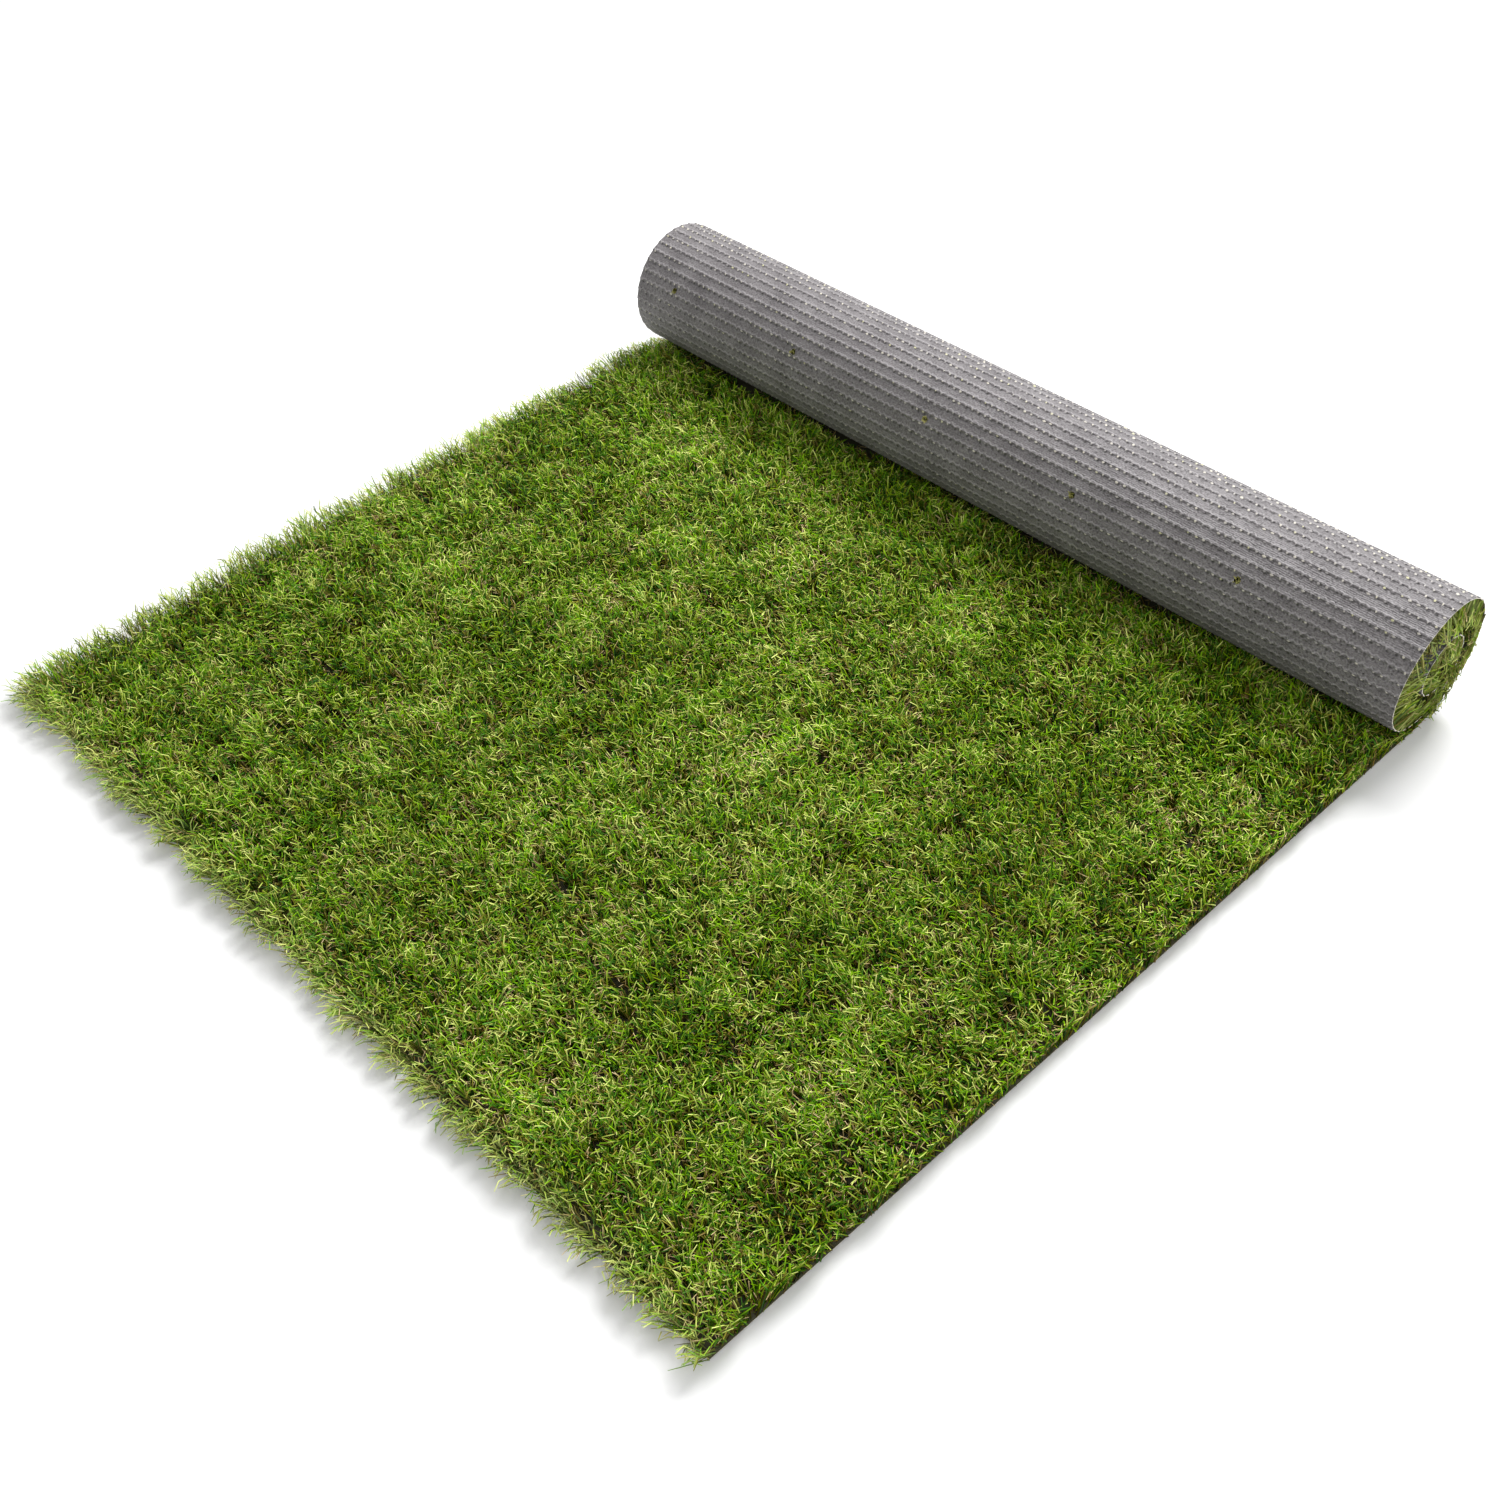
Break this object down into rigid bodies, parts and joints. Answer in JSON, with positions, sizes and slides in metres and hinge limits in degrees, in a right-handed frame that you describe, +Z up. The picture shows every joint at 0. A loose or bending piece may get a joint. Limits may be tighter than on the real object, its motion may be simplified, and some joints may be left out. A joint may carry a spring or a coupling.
{
  "type": "artificial grass roll",
  "caption": "Square-cut piece of tufted artificial grass lying pile up, with its far end rolled back over itself to show the grey backing.",
  "frame": {"origin": "on the floor, under the middle of the piece's bounding box", "axes": "+X along the roll, +Y from the front edge to the roll, +Z up"},
  "size_m": [1, 0.969, 0.144],
  "materials": {
    "latex_backing": "matt grey latex coat over a woven cloth, with pale stitch rows",
    "grass_fibre": "tufted polyethylene blades in several greens over curled tan thatch"
  },
  "bodies": {
    "root": {"backing": "latex_backing", "grass_pile": "grass_fibre"}
  },
  "joints": []
}
